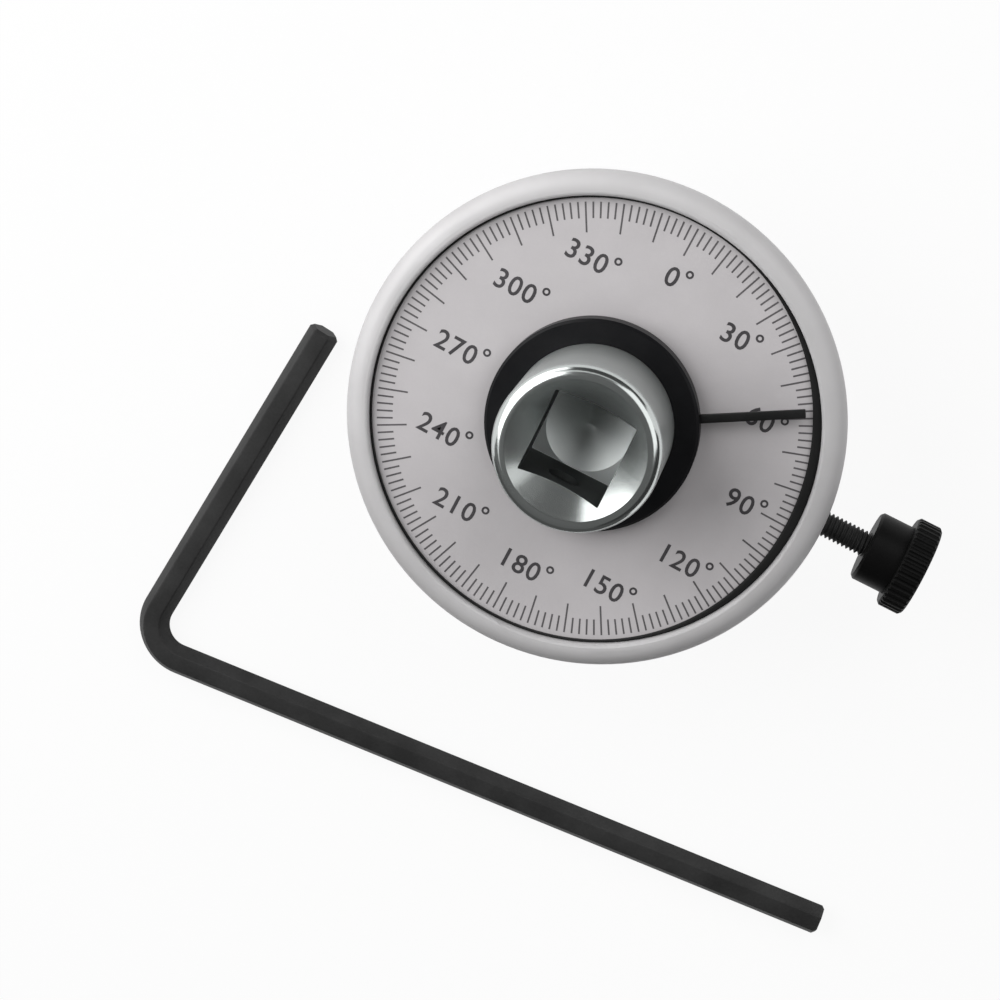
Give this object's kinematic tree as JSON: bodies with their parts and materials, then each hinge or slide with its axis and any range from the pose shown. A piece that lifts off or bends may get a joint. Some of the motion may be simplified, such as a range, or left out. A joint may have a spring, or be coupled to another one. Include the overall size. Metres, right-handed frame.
{
  "type": "torque angle gauge",
  "caption": "Round torque angle gauge: female and male drive squares on one spindle, pointer over a degree dial, clamp screw and hexagonal L-shaped reaction rod.",
  "frame": {"origin": "centre of the male square's end face, which the gauge stands on", "axes": "+Z along the spindle from the male square to the female square, +X outwards along the clamp screw, +Y along the rod's hole; the printed zero is 2 degrees clockwise of +Y"},
  "size_m": [0.1226, 0.114, 0.0532],
  "materials": {
    "casing_alloy": "fine satin",
    "dial_face": "satin, printed scale",
    "ring_black": "matt",
    "bearing_bronze": "turned",
    "bright_steel": "ground",
    "drive_chrome": "polished",
    "pointer_plastic": "moulded, satin",
    "needle_black": "matt",
    "grip_rubber": "matt",
    "blacked_steel": "black oxide",
    "knob_plastic": "moulded, satin"
  },
  "bodies": {
    "casing": {"casing": "casing_alloy", "dial_plate": "dial_face", "dial_ring": "ring_black", "bush": "bearing_bronze", "thrust_washer": "bearing_bronze", "flat_washer": "bright_steel", "disc_spring": "bright_steel"},
    "spindle": {"drive_spindle": "drive_chrome", "circlip": "bright_steel", "detent_spring": "bright_steel"},
    "detent_ball": {"detent_ball": "bright_steel"},
    "pointer": {"pointer_hub": "pointer_plastic", "pointer_needle": "needle_black", "grip_ring": "grip_rubber"},
    "clamp_stud": {"clamp_stud": "blacked_steel"},
    "thumb_knob": {"thumb_knob": "knob_plastic"},
    "reaction_rod": {"reaction_rod": "blacked_steel"}
  },
  "joints": [
    {"name": "spindle_turn", "type": "hinge", "parent": "casing", "child": "spindle", "pos_m": [0, 0, 0.025], "axis": [0, 0, 1], "continuous": true},
    {"name": "pointer_set", "type": "hinge", "parent": "spindle", "child": "pointer", "pos_m": [0, 0, 0.033], "axis": [0, 0, 1], "continuous": true},
    {"name": "detent_press", "type": "slide", "parent": "spindle", "child": "detent_ball", "axis": [1, 0, 0], "range_m": [-0.0009, 0], "stiffness_N_per_m": 1500, "springref_m": 0.0005, "deforming": ["detent_spring"]},
    {"name": "clamp_travel", "type": "slide", "parent": "casing", "child": "clamp_stud", "axis": [1, 0, 0], "range_m": [-0.0049, 0.0028]},
    {"name": "knob_turn", "type": "hinge", "parent": "clamp_stud", "child": "thumb_knob", "pos_m": [0.0449, 0, 0.0226], "axis": [1, 0, 0], "range_deg": [-2600, 1500]},
    {"name": "rod_lift", "type": "slide", "parent": "casing", "child": "reaction_rod", "axis": [0, 0, 1], "range_m": [0, 0.1]}
  ],
  "couplings": [
    {"joint": "knob_turn", "follows": "clamp_travel", "rad_per_m": 8976}
  ]
}
